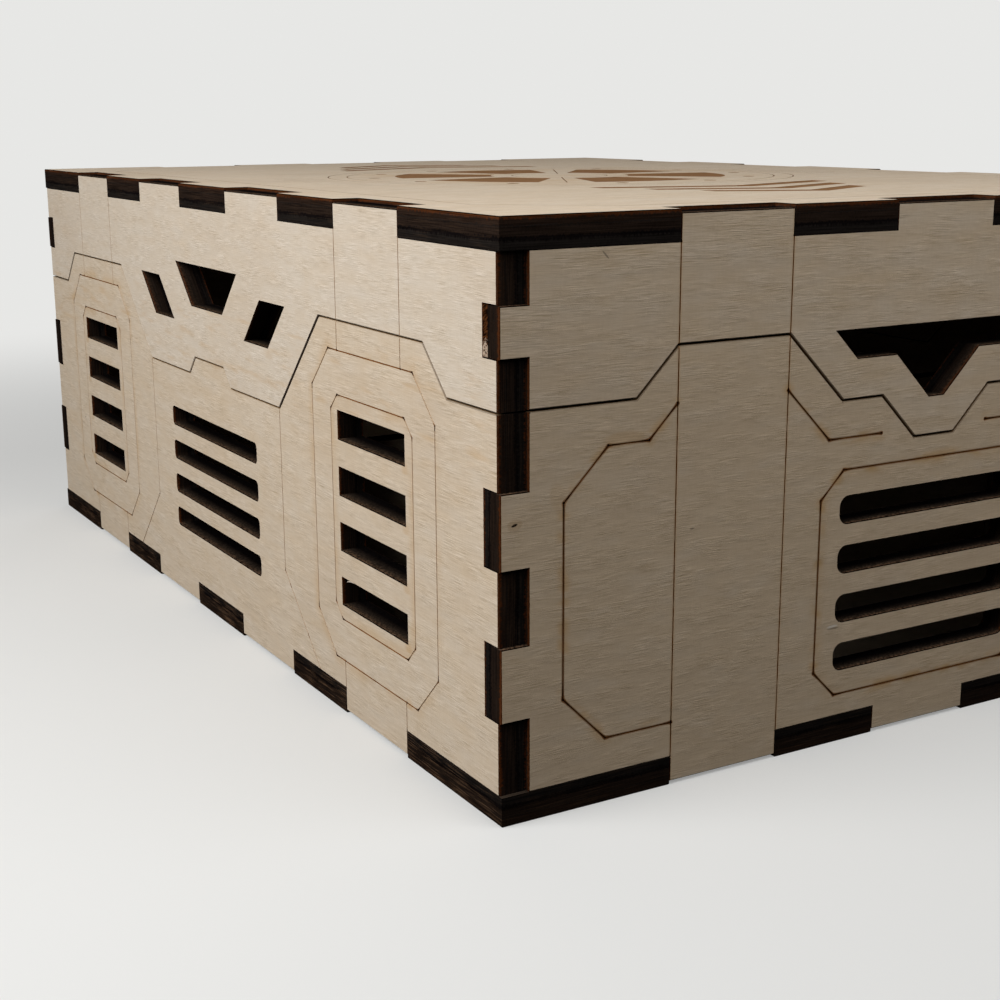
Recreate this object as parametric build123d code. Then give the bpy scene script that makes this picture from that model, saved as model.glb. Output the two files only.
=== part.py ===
"""Game storage crate of laser-cut plywood, in millimetres.

Ten finger-jointed boards make an open base and a lift-off lid, which meet along a stepped seam
in the plane of the walls. Three halved boards inside make a lift-out divider.
X runs across the front, Y from the front to the back, Z up from the face that it stands on.
"""
import os
from math import atan2, cos, degrees, hypot, radians, sin

from build123d import *

# Sheet and outer size
ply = 4.0
crate_width = 142.0
crate_depth = 198.0
base_height = 52.9  # from the table to the seam at the corners
lid_height = 23.1  # from the seam at the corners to the top

# Joints between boards
tab_length = 3.5  # a wall tab stops short of the panel's outer face
side_finger_length = 3.3  # a side wall's finger stops short of the front face
joint_gap = 0.05  # beside a glued tab or finger
base_finger_rows = 5
lid_finger_rows = 3
front_tab = 18.0
front_corner_extra = 8.0  # the corner run is longer than a gap between tabs by this
side_outer_tab = 20.0
side_inner_tab = 22.0
side_corner_extra = 6.0
side_centre_extra = 2.0
arris = 0.12  # singed bevel round every outer edge
cut_start = 1.0  # a cut starts this far outside the outer face

# Seam between lid and base, as heights above or below its level at the corners
front_seam_gap = 0.3
side_seam_gap = 0.24
side_seam_drop = 0.1  # the seam lies this much lower on the sides than on the front
seam_lean = 0.12  # on the sides the lid's edge is this much nearer the back than the base's
seam_high = 6.3
seam_mid = -3.4
seam_low = -9.8
seam_bump = -6.7
front_valley = 7.4  # flat at the middle of the front
side_high_before = 6.5  # the high run starts this far before the outer tab
side_high_after = 6.0
side_bump = 13.8  # raised flat at the middle of a side

# Openings in the lid walls, heights measured from the seam at the corners
front_vent_top = 6.1
front_vent_shoulder = 2.2
front_vent_bottom = -4.2
front_vent_width = 37.8
front_vent_stem = 15.6
side_vent_top = 9.4
side_vent_bottom = 2.3
side_vent_width = 29.0
slant_vent_top = 6.15
slant_vent_bottom = -0.9
slant_vent_width = 9.9
slant_vent_reach = 34.1  # from the middle of the side to the outer top corner

# Slots in the base walls, as many rows as fit with at least a web of wood between them
front_slot_length = 33.8
front_slot_height = 3.9
front_slot_web = 3.2
front_slot_radius = 1.45
front_slot_start = 10.8  # above the table
front_slot_stop = 7.05  # below the seam's lowest run
side_slot_length = 21.1
side_slot_height = 4.15
side_slot_web = 4.1
side_slot_start = 17.0
side_slot_stop = 6.8  # below the seam at the corners
side_slot_shift = 0.2  # the rows sit this much nearer the corner than the tab does
middle_slot_length = 40.8
middle_slot_height = 3.3
middle_slot_web = 3.0
middle_slot_radius = 0.8
middle_slot_start = 13.1
middle_slot_stop = 7.6  # below the seam's lowest run

# Engraved lines
line_width = 0.2
line_depth = 0.12
dot_size = 0.36  # where the laser dwells at a corner
dot_depth = 0.3
fill_depth = 0.06

# Engraved panel on the front, round the slots
front_frame_side = 3.6
front_frame_below = 3.6
front_frame_above = 3.8
front_frame_corner = 3.9
# Engraved bracket between the outer tab and the corner
bracket_top = -1.1  # from the seam at the corners
bracket_step = 4.3
bracket_edge = 9.0  # from the corner
bracket_corner = 6.5
bracket_bottom = 8.9  # above the table
mark_drop = 7.5
mark_stop = 10.0  # from the middle of the front
# Engraved frames round the side slots
inner_frame_margin = 2.3
inner_frame_corner = 2.25
outer_frame_margin = 8.75
outer_frame_corner = 6.05
side_drop = 12.8  # the line from the seam turns this far above the wall's lower edge

# Engraved ornament on the top: a round hatch between chevrons, in a cut-corner frame
border_inset = 9.0
border_corner = 14.0
hatch_radius = 40.0
hatch_rim = 3.5
hatch_bolts = 12
bolt_radius = 1.1
blade_count = 6
blade_inner = 13.0
blade_outer = 31.0
blade_sweep = 42.0  # degrees filled of each sixth
hub_radius = 9.0
chevron_rows = 3
chevron_width = 46.0
chevron_height = 4.0
chevron_pitch = 9.0
chevron_clear = 9.0  # from the hatch to the first chevron
tick_rows = 9
tick_length = 7.0
tick_pitch = 4.5
tick_clear = 5.0

# Lift-out divider
card_length = 90.0  # clear length of the two card wells
divider_height = 36.0
divider_clearance = 0.5  # to each side wall
halving_gap = 0.1  # each side of a board in its slot
divider_tail = 6.0  # board beyond the crossing
scoop_radius = 9.0

# Worked out
crate_height = base_height + lid_height
half_width = crate_width / 2
half_depth = crate_depth / 2
panel_under = crate_height - ply
level_high = base_height + seam_high
level_mid = base_height + seam_mid
level_low = base_height + seam_low
level_bump = base_height + seam_bump
side_reach = half_depth - ply + side_finger_length

front_gap = (crate_width - 3 * front_tab - 2 * front_corner_extra) / 4
front_tab_inner = front_tab / 2 + front_gap
front_tab_outer = front_tab_inner + front_tab
side_taken = 2 * side_outer_tab + 2 * side_inner_tab + 2 * side_corner_extra + side_centre_extra
side_gap = (crate_depth - side_taken) / 5
side_tab_1 = (side_gap + side_centre_extra) / 2
side_tab_2 = side_tab_1 + side_inner_tab
side_tab_3 = side_tab_2 + side_gap
side_tab_4 = side_tab_3 + side_outer_tab
side_slot_middle = (side_tab_3 + side_tab_4) / 2 + side_slot_shift
drop_line = side_tab_3 - side_high_after - (level_high - level_low)

front_plane = Plane((0, -half_depth, 0), (1, 0, 0), (0, -1, 0))
back_plane = Plane((0, half_depth, 0), (-1, 0, 0), (0, 1, 0))
left_plane = Plane((-half_width, 0, 0), (0, -1, 0), (-1, 0, 0))
right_plane = Plane((half_width, 0, 0), (0, 1, 0), (1, 0, 0))


def stepped(stations, first, second):
    """Return an edge that changes between two values at each station."""
    points = []
    now, other = first, second
    for station in stations:
        points.append((station, now))
        now, other = other, now
        points.append((station, now))
    return points


def shifted(points, distance):
    """Return a line moved sideways by a distance, with its corners kept sharp."""
    normals = []
    for (u0, z0), (u1, z1) in zip(points, points[1:]):
        length = hypot(u1 - u0, z1 - z0)
        normals.append(((z0 - z1) / length, (u1 - u0) / length))
    pairs = zip([normals[0]] + normals, normals + [normals[-1]])
    moved = []
    for (u, z), ((a, b), (c, d)) in zip(points, pairs):
        share = distance / (1 + a * c + b * d)
        moved.append((u + share * (a + c), z + share * (b + d)))
    return moved


def front_seam(end):
    """Return the seam on the front from the middle out to an end, at its true middle line."""
    foot = front_valley / 2
    return [
        (-foot, level_low),
        (foot, level_low),
        (foot + level_mid - level_low, level_mid),
        (front_tab_inner - (level_high - level_mid), level_mid),
        (front_tab_inner, level_high),
        (front_tab_outer, level_high),
        (front_tab_outer + seam_high, base_height),
        (end, base_height),
    ]


def side_seam(end):
    """Return the seam on a side from the middle out to an end, at its true middle line."""
    foot = side_bump / 2
    high_start = side_tab_3 - side_high_after
    high_stop = side_tab_4 + side_high_before
    line = [
        (-foot, level_bump),
        (foot, level_bump),
        (foot + level_bump - level_low, level_low),
        (high_start - (level_high - level_low), level_low),
        (high_start, level_high),
        (high_stop, level_high),
        (high_stop + seam_high, base_height),
        (end, base_height),
    ]
    return [(u, z - side_seam_drop) for u, z in line]


def rows(start, stop, count):
    """Return the heights that part a wall edge into equal fingers."""
    return [start + (stop - start) * i / count for i in range(count + 1)]


def finger_edge(heights, starts_out, out, back, gap):
    """Return a wall's upright edge, from its lower end to its upper end."""
    points = []
    is_out = starts_out
    for low, high in zip(heights, heights[1:]):
        trim = gap if is_out else -gap
        bottom = low + trim if low > heights[0] else low
        top = high - trim if high < heights[-1] else high
        reach = out if is_out else back
        points += [(reach, bottom), (reach, top)]
        is_out = not is_out
    return points


def polygon(points):
    """Return a filled face from its corners."""
    return make_face(Polyline(*points, close=True))


def board(face):
    """Return a board of a drawn shape, outer face at local Z zero, all its edges bevelled."""
    solid = extrude(face, ply, dir=(0, 0, -1))
    outer = solid.faces().sort_by(Axis.Z)[-1]
    return chamfer(outer.edges(), arris)


def mirrored(right_half):
    """Return a whole outline from its right half."""
    return polygon(right_half + [(-u, z) for u, z in reversed(right_half)])


def base_wall(tabs, tab_first, fingers, seam, gap):
    """Return a base wall's outline: tabs below, the seam's lower side above."""
    tip = ply - tab_length
    lower = stepped(tabs, tip, ply) if tab_first else stepped(tabs, ply, tip)
    upper = shifted(seam, -gap / 2)[1:-1]
    return mirrored(lower + fingers + upper[::-1])


def lid_wall(tabs, tab_first, fingers, seam, gap, lean):
    """Return a lid wall's outline: the seam's upper side, moved sideways, below, tabs above."""
    tip = panel_under + tab_length
    upper = stepped(tabs, tip, panel_under) if tab_first else stepped(tabs, panel_under, tip)
    lower = shifted(seam, gap / 2)[1:-1]
    rest = fingers + upper[::-1]
    right = [(u + lean, z) for u, z in lower] + rest
    left = [(lean - u, z) for u, z in lower] + [(-u, z) for u, z in rest]
    return polygon(right + left[::-1])


def base_rows(seam, gap):
    """Return the finger heights of the base corners, ending at the seam's lower side."""
    heights = rows(ply, base_height, base_finger_rows)
    return heights[:-1] + [seam[-1][1] - gap / 2]


def lid_rows(seam, gap):
    """Return the finger heights of the lid corners, starting at the seam's upper side."""
    heights = rows(base_height, panel_under, lid_finger_rows)
    return [seam[-1][1] + gap / 2] + heights[1:]


def front_tabs():
    """Return where the front's tabs start and stop, from the middle out."""
    return [front_tab / 2, front_tab_inner, front_tab_outer]


def side_tabs():
    """Return where a side's tabs start and stop, from the middle out."""
    return [side_tab_1, side_tab_2, side_tab_3, side_tab_4]


def cutter(sketch, depth):
    """Return a tool that cuts a drawn shape to a depth below the outer face."""
    return Pos(0, 0, cut_start) * extrude(sketch, cut_start + depth, dir=(0, 0, -1))


def slot_stack(start, stop, height, web, shape, middles):
    """Return evenly spaced rows of equal slots between two heights, at each middle."""
    span = stop - start - height
    steps = int(span / (height + web))
    heights = [start + height / 2 + span * i / steps for i in range(steps + 1)]
    return Sketch() + [Pos(u, z) * shape for u in middles for z in heights]


def front_slots():
    """Return the round-cornered slots of the front and back."""
    shape = RectangleRounded(front_slot_length, front_slot_height, front_slot_radius)
    stop = level_low - front_slot_stop
    return slot_stack(front_slot_start, stop, front_slot_height, front_slot_web, shape, [0])


def side_slots():
    """Return the square slots near the corners and the long ones at a side's middle."""
    square = Rectangle(side_slot_length, side_slot_height)
    middles = [-side_slot_middle, side_slot_middle]
    stop = base_height - side_slot_stop
    outer = slot_stack(side_slot_start, stop, side_slot_height, side_slot_web, square, middles)
    long = RectangleRounded(middle_slot_length, middle_slot_height, middle_slot_radius)
    stop = level_low - middle_slot_stop
    inner = slot_stack(middle_slot_start, stop, middle_slot_height, middle_slot_web, long, [0])
    return outer + inner


def front_vent():
    """Return the stepped opening of the front lid wall, where fingers lift the lid."""
    top = base_height + front_vent_top
    shoulder = base_height + front_vent_shoulder
    bottom = base_height + front_vent_bottom
    half = front_vent_width / 2
    stem = front_vent_stem / 2
    right = [
        (stem - (shoulder - bottom), bottom),
        (stem, shoulder),
        (half - (top - shoulder), shoulder),
        (half, top),
    ]
    return mirrored(right)


def side_vents():
    """Return the three slanted openings of a side lid wall."""
    top = base_height + side_vent_top
    bottom = base_height + side_vent_bottom
    half = side_vent_width / 2
    right = [(half - (top - bottom), bottom), (half, top)]
    vents = Sketch() + mirrored(right)
    top = base_height + slant_vent_top
    bottom = base_height + slant_vent_bottom
    lean = top - bottom
    for side in (-1, 1):
        corners = [
            (side * slant_vent_reach, top),
            (side * (slant_vent_reach - slant_vent_width), top),
            (side * (slant_vent_reach - slant_vent_width - lean), bottom),
            (side * (slant_vent_reach - lean), bottom),
        ]
        vents += polygon(corners)
    return vents


def both_sides(line):
    """Return a line and its mirror image about the middle."""
    return [line, [(-u, z) for u, z in line]]


def cut_corner_frame(middle, half, low, high, corner):
    """Return a closed frame line with its four corners cut off."""
    return [
        (middle - half + corner, low),
        (middle + half - corner, low),
        (middle + half, low + corner),
        (middle + half, high - corner),
        (middle + half - corner, high),
        (middle - half + corner, high),
        (middle - half, high - corner),
        (middle - half, low + corner),
        (middle - half + corner, low),
    ]


def front_lines():
    """Return the engraved lines of the front and back."""
    lines = []
    for u in (front_tab_inner, front_tab_outer):
        lines += both_sides([(u, ply), (u, panel_under)])
    step_level = base_height + bracket_top - bracket_step
    edge = half_width - bracket_edge
    bracket = [
        (front_tab_outer, base_height + bracket_top),
        (front_tab_outer + bracket_step, step_level),
        (edge - bracket_corner, step_level),
        (edge, step_level - bracket_corner),
        (edge, bracket_bottom + bracket_corner),
        (edge - bracket_corner, bracket_bottom),
        (front_tab_outer, bracket_bottom),
    ]
    mark_level = base_height + bracket_top - mark_drop
    mark = [
        (front_tab_inner, base_height + bracket_top),
        (front_tab_inner - mark_drop, mark_level),
        (mark_stop, mark_level),
    ]
    low = front_slot_start - front_frame_below
    high = level_low - front_slot_stop + front_frame_above
    half = front_slot_length / 2 + front_frame_side
    frame = cut_corner_frame(0, half, low, high, front_frame_corner)
    return lines + both_sides(bracket) + both_sides(mark) + [frame]


def side_lines():
    """Return the engraved lines of a side."""
    lines = []
    low = side_slot_start
    high = base_height - side_slot_stop
    half = side_slot_length / 2
    frames = ((inner_frame_margin, inner_frame_corner), (outer_frame_margin, outer_frame_corner))
    for margin, corner in frames:
        frame = cut_corner_frame(
            side_slot_middle, half + margin, low - margin, high + margin, corner
        )
        lines += both_sides(frame)
    for u in (side_tab_3, side_tab_4):
        lines += both_sides([(u, ply), (u, low - outer_frame_margin)])
        lines += both_sides([(u, high + outer_frame_margin), (u, panel_under)])
    drop = [(drop_line, level_low), (drop_line, ply + side_drop), (drop_line + side_drop, ply)]
    return lines + both_sides(drop)


def stroke(line):
    """Return the strokes of an engraved line, one bar for each straight run."""
    bars = []
    for (u0, z0), (u1, z1) in zip(line, line[1:]):
        length = hypot(u1 - u0, z1 - z0)
        turn = degrees(atan2(z1 - z0, u1 - u0))
        place = Pos((u0 + u1) / 2, (z0 + z1) / 2) * Rot(0, 0, turn)
        bars.append(place * Rectangle(length + line_width, line_width))
    return bars


def engraving(lines):
    """Return the cutter for engraved lines, with a deeper dot at each corner."""
    bars = []
    corners = set()
    for line in lines:
        bars += stroke(line)
        corners.update((round(u, 4), round(z, 4)) for u, z in line)
    dots = [Pos(u, z) * Circle(dot_size / 2) for u, z in sorted(corners)]
    return cutter(Sketch() + bars, line_depth) + cutter(Sketch() + dots, dot_depth)


def front_pair():
    """Return the front base wall and front lid wall in their own flat frame."""
    back = half_width - ply
    seam, gap = front_seam(back), front_seam_gap
    lines = engraving(front_lines())
    fingers = finger_edge(base_rows(seam, gap), False, half_width, back, joint_gap)
    base = base_wall(front_tabs(), True, fingers, seam, gap)
    fingers = finger_edge(lid_rows(seam, gap), False, half_width, back, joint_gap)
    lid = lid_wall(front_tabs(), True, fingers, seam, gap, 0)
    return board(base - front_slots()) - lines, board(lid - front_vent()) - lines


def left_pair():
    """Return the left base wall and left lid wall in their own flat frame, the back at its left."""
    back = half_depth - ply
    seam, gap = side_seam(side_reach), side_seam_gap
    lines = engraving(side_lines())
    fingers = finger_edge(base_rows(seam, gap), True, side_reach, back, 0)
    base = base_wall(side_tabs(), False, fingers, seam, gap)
    fingers = finger_edge(lid_rows(seam, gap), True, side_reach, back, 0)
    lid = lid_wall(side_tabs(), False, fingers, seam, gap, -seam_lean)
    return board(base - side_slots()) - lines, board(lid - side_vents()) - lines


def panel_notches():
    """Return the notches that the wall tabs fill, drawn from above."""
    depth = ply + joint_gap
    notches = []
    for middle, tab in (
        (0, front_tab),
        (front_tab_inner + front_tab / 2, front_tab),
        (-front_tab_inner - front_tab / 2, front_tab),
    ):
        notch = Rectangle(tab + 2 * joint_gap, 2 * depth)
        notches += [Pos(middle, side * half_depth) * notch for side in (-1, 1)]
    for middle, tab in (
        (side_tab_1 + side_inner_tab / 2, side_inner_tab),
        (side_tab_3 + side_outer_tab / 2, side_outer_tab),
    ):
        notch = Rectangle(2 * depth, tab + 2 * joint_gap)
        for x in (-half_width, half_width):
            notches += [Pos(x, side * middle) * notch for side in (-1, 1)]
    return Sketch() + notches


def panel():
    """Return a notched panel, its outer face at local Z zero."""
    return board(Rectangle(crate_width, crate_depth) - panel_notches())


def ring_sector(inner, outer, middle, sweep):
    """Return a filled piece of a ring."""
    ring = Circle(outer) - Circle(inner)
    reach = 2 * outer
    edge = radians(sweep / 2)
    wedge = polygon([
        (0, 0),
        (reach * cos(edge), -reach * sin(edge)),
        (reach * cos(edge), reach * sin(edge)),
    ])
    return Rot(0, 0, middle) * (ring & wedge)


def hatch_fills():
    """Return the filled shapes of the ornament's round hatch."""
    step = 360 / blade_count
    fills = [
        ring_sector(blade_inner, blade_outer, step * (i + 0.5), blade_sweep)
        for i in range(blade_count)
    ]
    ring = (hatch_radius + blade_outer) / 2
    for i in range(hatch_bolts):
        angle = radians(360 / hatch_bolts * (i + 0.5))
        fills.append(Pos(ring * cos(angle), ring * sin(angle)) * Circle(bolt_radius))
    return fills


def chevron_fills():
    """Return the filled chevrons in front of the hatch and behind it."""
    fills = []
    for side in (-1, 1):
        for i in range(chevron_rows):
            near = side * (hatch_radius + chevron_clear + chevron_pitch * i)
            far = near + side * chevron_height
            half = chevron_width / 2 - chevron_height * i
            lean = side * chevron_height
            fills.append(polygon([
                (-half, near - lean),
                (0, near + lean),
                (half, near - lean),
                (half, far - lean),
                (0, far + lean),
                (-half, far - lean),
            ]))
    return fills


def top_lines():
    """Return the straight engraved lines of the ornament, drawn from above."""
    half = half_width - border_inset
    long = half_depth - border_inset
    lines = [cut_corner_frame(0, half, -long, long, border_corner)]
    inner = hatch_radius + tick_clear
    for i in range(tick_rows):
        y = tick_pitch * (i - (tick_rows - 1) / 2)
        lines += both_sides([(inner, y), (inner + tick_length, y)])
    for i in range(blade_count):
        angle = radians(360 / blade_count * i)
        c, s = cos(angle), sin(angle)
        lines.append([(hub_radius * c, hub_radius * s), (blade_outer * c, blade_outer * s)])
    return lines


def top_rings():
    """Return the engraved circles of the ornament."""
    rings = Sketch()
    for radius in (hub_radius, hatch_radius, hatch_radius + hatch_rim):
        rings += Circle(radius + line_width / 2) - Circle(radius - line_width / 2)
    return rings


def lid_top():
    """Return the top panel with its engraved ornament."""
    ornament = engraving(top_lines()) + cutter(top_rings(), line_depth)
    fills = cutter(Sketch() + hatch_fills() + chevron_fills(), fill_depth)
    return Pos(0, 0, crate_height) * (panel() - ornament - fills)


def cross_divider():
    """Return a board across the crate, slotted from its upper edge at the middle."""
    width = crate_width - 2 * ply - 2 * divider_clearance
    face = Pos(0, divider_height / 2) * Rectangle(width, divider_height)
    slot = Rectangle(ply + 2 * halving_gap, divider_height)
    face -= Pos(0, divider_height) * slot
    for u in (-width / 4, width / 4):
        face -= Pos(u, divider_height) * Circle(scoop_radius)
    return extrude(face, ply / 2, both=True)


def lengthwise_divider():
    """Return a board from front to back, slotted from its lower edge at both crossings."""
    crossing = (card_length + ply) / 2
    length = 2 * (crossing + ply / 2 + divider_tail)
    face = Pos(0, divider_height / 2) * Rectangle(length, divider_height)
    slot = Rectangle(ply + 2 * halving_gap, divider_height)
    for u in (-crossing, crossing):
        face -= Pos(u, 0) * slot
    face -= Pos(0, divider_height) * Circle(scoop_radius)
    return extrude(face, ply / 2, both=True)


def dividers():
    """Return the three boards of the lift-out divider, standing on the crate's floor."""
    crossing = (card_length + ply) / 2
    across = cross_divider()
    along = lengthwise_divider()
    front = Plane((0, -crossing, ply), (1, 0, 0), (0, -1, 0))
    back = Plane((0, crossing, ply), (1, 0, 0), (0, -1, 0))
    middle = Plane((0, 0, ply), (0, 1, 0), (1, 0, 0))
    return {
        "front_cross_divider": across.moved(front.location),
        "back_cross_divider": across.moved(back.location),
        "lengthwise_divider": along.moved(middle.location),
    }


def build():
    """Return every board of the crate under its own name."""
    base_front, lid_front = front_pair()
    base_left, lid_left = left_pair()
    parts = {
        "base_bottom_panel": Rot(180, 0, 0) * panel(),
        "lid_top_panel": lid_top(),
    }
    for name, plane, base, lid in (
        ("front", front_plane, base_front, lid_front),
        ("back", back_plane, base_front, lid_front),
        ("left", left_plane, base_left, lid_left),
        ("right", right_plane, base_left, mirror(lid_left, about=Plane.YZ)),
    ):
        parts["base_" + name + "_wall"] = base.moved(plane.location)
        parts["lid_" + name + "_wall"] = lid.moved(plane.location)
    parts.update(dividers())
    return parts


os.makedirs("parts", exist_ok=True)
for node, shape in build().items():
    export_step(shape, "parts/" + node + ".step")
    print(node, round(shape.volume, 1), "mm3")
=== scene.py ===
"""Finish of a laser-cut plywood game storage crate, and the small studio that it stands in.

Lengths in the settings are in metres. Inside the materials they are in millimetres.
Every board has its own coordinates there: along its grain, up across the grain, and its depth
below the face that shows, from which the finish tells bare wood, engraving and singed cuts apart.
"""
from math import cos, pi, radians, sin, sqrt

import bmesh
import bpy
from bpy.props import FloatProperty, FloatVectorProperty, PointerProperty
from mathutils import Matrix, Vector


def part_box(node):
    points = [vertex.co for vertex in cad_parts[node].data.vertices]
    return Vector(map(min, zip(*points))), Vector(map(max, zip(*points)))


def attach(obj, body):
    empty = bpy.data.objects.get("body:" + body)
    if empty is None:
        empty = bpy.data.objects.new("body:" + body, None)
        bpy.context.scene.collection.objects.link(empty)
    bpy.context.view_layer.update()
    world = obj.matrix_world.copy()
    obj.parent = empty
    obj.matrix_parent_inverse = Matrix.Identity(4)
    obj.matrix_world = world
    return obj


bl_info = {
    "name": "Plywood game crate",
    "version": (1, 0, 0),
    "blender": (4, 5, 0),
    "location": "3D View > Sidebar > Crate",
    "description": "Finishes the boards of a laser-cut plywood crate and sets up its studio",
    "category": "Object",
}

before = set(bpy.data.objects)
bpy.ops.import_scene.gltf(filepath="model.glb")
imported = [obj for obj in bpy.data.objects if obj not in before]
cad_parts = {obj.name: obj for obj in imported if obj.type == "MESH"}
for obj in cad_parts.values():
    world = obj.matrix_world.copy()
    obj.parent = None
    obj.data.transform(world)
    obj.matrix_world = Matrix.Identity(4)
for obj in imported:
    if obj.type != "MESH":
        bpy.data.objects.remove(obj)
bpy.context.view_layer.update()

MM = 1000.0  # millimetres in a metre
X, Y, Z = 0, 1, 2

# Each board: the axis through its thickness, the side that shows, and its grain and cross axes
BOARDS = {
    "base_front_wall": (Y, -1, X, Z),
    "base_back_wall": (Y, 1, X, Z),
    "lid_front_wall": (Y, -1, X, Z),
    "lid_back_wall": (Y, 1, X, Z),
    "base_left_wall": (X, -1, Y, Z),
    "base_right_wall": (X, 1, Y, Z),
    "lid_left_wall": (X, -1, Y, Z),
    "lid_right_wall": (X, 1, Y, Z),
    "lid_top_panel": (Z, 1, X, Y),
    "base_bottom_panel": (Z, -1, X, Y),
    "front_cross_divider": (Y, -1, X, Z),
    "back_cross_divider": (Y, 1, X, Z),
    "lengthwise_divider": (X, -1, Y, Z),
}

# Lumps of the bare wood's noises in millimetres: along the grain, across it
DRIFT_LUMP = (26.0, 11.0)
CLOUD_LUMP = (34.0, 20.0)
FIGURE_LUMP = (14.0, 2.6)
RAY_LUMP = (0.30, 1.8)
BAND_LUMP = (10.0, 0.9)
MOTTLE_LUMP = (4.0, 3.0)
PATCH_LUMP = (6.0, 2.5)
GLINT_LUMP = (0.9, 0.14)
SPECK_CELL = (24.0, 7.0)
GRAIN_WANDER = 1.1  # millimetres by which the grain strays across the board

# How strongly each noise lightens or darkens bare wood
FIBRE_SHADE = 0.84
RIPPLE_SHADE = 0.24
RAY_SHADE = 0.10
BAND_SHADE = 0.12
CLOUD_SHADE = 0.10
GLINT_SHADE = 0.14

# The shade without any noise, and how strongly the noises tell in red and in blue, against green
MEAN_SHADE = 0.99
RED_SHADE = 0.88
BLUE_SHADE = 1.22

# How far the inner tone covers an inner face, as painted shade of the dim inside of the crate, and
# how far the dark margin covers a panel's inner face
INSIDE_SHADE_SHARE = 0.8
DARK_MARGIN_SHARE = 0.93

# Lumps on a cut face in millimetres: along the cut, and through the plies where it differs
CUT_STREAK_LUMP = (9.0, 0.14)
CUT_THREAD_LUMP = (7.0, 0.065)
CUT_WANDER_LUMP = 5.0
GRIT_LUMP = 0.16
SPECKLE_LUMP = 0.34
THREAD_PATCH_LUMP = (6.0, 3.0)
PULSE_DEPTH = 0.9
SOOT_DEPTH = 2.8
LIP_DEPTH = 1.4

# The plies from the face to the back, as shares of a board's thickness
PLIES = (
    (0.00, "rim"),
    (0.06, "rim"),
    (0.13, "face_ply"),
    (0.27, "face_ply"),
    (0.30, "back_ply"),
    (0.34, "core_ply"),
    (0.58, "core_ply"),
    (0.64, "glue"),
    (0.70, "glue"),
    (0.76, "back_ply"),
    (0.93, "back_ply"),
    (1.00, "far_rim"),
)


def colour(name, description, red, green, blue):
    """Return a colour setting."""
    return FloatVectorProperty(
        name=name,
        description=description,
        subtype="COLOR",
        size=3,
        min=0.0,
        max=1.0,
        default=(red, green, blue),
    )


def length(name, description, millimetres):
    """Return a length setting."""
    return FloatProperty(
        name=name,
        description=description,
        unit="LENGTH",
        precision=5,
        default=millimetres / MM,
    )


def place(name, description, x, y, z):
    """Return a setting for a point."""
    return FloatVectorProperty(
        name=name,
        description=description,
        subtype="TRANSLATION",
        unit="LENGTH",
        size=3,
        default=(x / MM, y / MM, z / MM),
    )


def angle(name, description, degrees_):
    """Return an angle setting."""
    return FloatProperty(
        name=name,
        description=description,
        subtype="ANGLE",
        default=radians(degrees_),
    )


def share(name, description, value):
    """Return a setting from 0 to 1."""
    return FloatProperty(
        name=name,
        description=description,
        subtype="FACTOR",
        min=0.0,
        max=1.0,
        default=value,
    )


def watts(name, value):
    """Return a lamp's power setting."""
    return FloatProperty(name=name, description="Power in watts", unit="POWER", default=value)


class WoodSettings(bpy.types.PropertyGroup):
    """Colours and grain of the bare plywood."""

    pale: colour("Pale wood", "Lightest tone of the sanded veneer", 0.68, 0.585, 0.475)
    warm: colour("Warm wood", "Yellower tone of the same veneer", 0.63, 0.492, 0.342)
    tan: colour("Tan wood", "Deepest tone of the bare veneer", 0.52, 0.40, 0.28)
    # Inner face is painted shade: a dark tone for the dim inside of the crate, on the inner faces and
    # on the dividers
    inner: colour("Inner face", "Tone of the duller faces inside the crate", 0.27, 0.21, 0.15)
    fibre_length: length("Fibre length", "Length of a fibre along the grain", 3.2)
    fibre_width: length("Fibre width", "Width of a fibre across the grain", 0.115)
    ripple_length: length("Ripple length", "Length of a sanded ripple along the grain", 2.4)
    ripple_width: length("Ripple width", "Width of a sanded ripple across the grain", 0.21)
    ripple_height: length("Ripple height", "Height of the sanded ripples", 0.024)
    fibre_height: length("Fibre height", "Height of the fibres", 0.031)
    loose_fibre_width: length("Loose fibre", "Width of the fibre that hangs in a slot", 0.30)
    roughness: share("Roughness", "Roughness of bare wood", 0.70)


class LaserSettings(bpy.types.PropertyGroup):
    """Colours and sizes of what the laser leaves on the wood."""

    rim: colour("Rim", "Singed orange-brown edge of a cut", 0.064, 0.0185, 0.0055)
    face_ply: colour("Face ply", "Cut edge of the ply next to the face", 0.0155, 0.0090, 0.0062)
    core_ply: colour("Core ply", "Cut edge of the middle ply", 0.0135, 0.0085, 0.0062)
    back_ply: colour("Back ply", "Cut edge of the ply at the back", 0.0092, 0.0075, 0.0066)
    # The glue line's colour also paints the shadow lines where the walls meet the panels
    glue: colour("Glue line", "Charred glue between two plies", 0.004, 0.003, 0.003)
    ash: colour("Ash", "Soot on cuts that face upwards", 0.034, 0.024, 0.017)
    splinters: colour("Splinters", "Pale fibres that stand out of a cut", 0.20, 0.115, 0.065)
    line_pale: colour("Pale line", "Faintest engraved line", 0.60, 0.455, 0.315)
    line_light: colour("Light line", "Engraved line where the laser ran fast", 0.29, 0.125, 0.038)
    line_dark: colour("Dark line", "Engraved line where the laser slowed", 0.036, 0.013, 0.004)
    fill: colour("Fill", "Engraved area of the ornament", 0.26, 0.140, 0.068)
    scorch: colour("Scorch", "Wood singed right beside a line", 0.22, 0.090, 0.028)
    # Haze is a smoke stain beside the lines, and also the pale paint on the seam's lip, which is
    # partly painted light in the gap's shade
    haze_and_seam_light: colour("Haze", "Wood stained by smoke beside a line", 0.56, 0.365, 0.185)
    haze_reach: length("Haze reach", "How far the smoke stains the wood", 2.2)
    striation: length("Striation", "Spacing of the laser's pulses along a cut", 0.30)
    cut_height: length("Cut height", "Height of the pulses on a cut face", 0.030)
    roughness: share("Roughness", "Roughness of a charred cut", 0.75)


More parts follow.
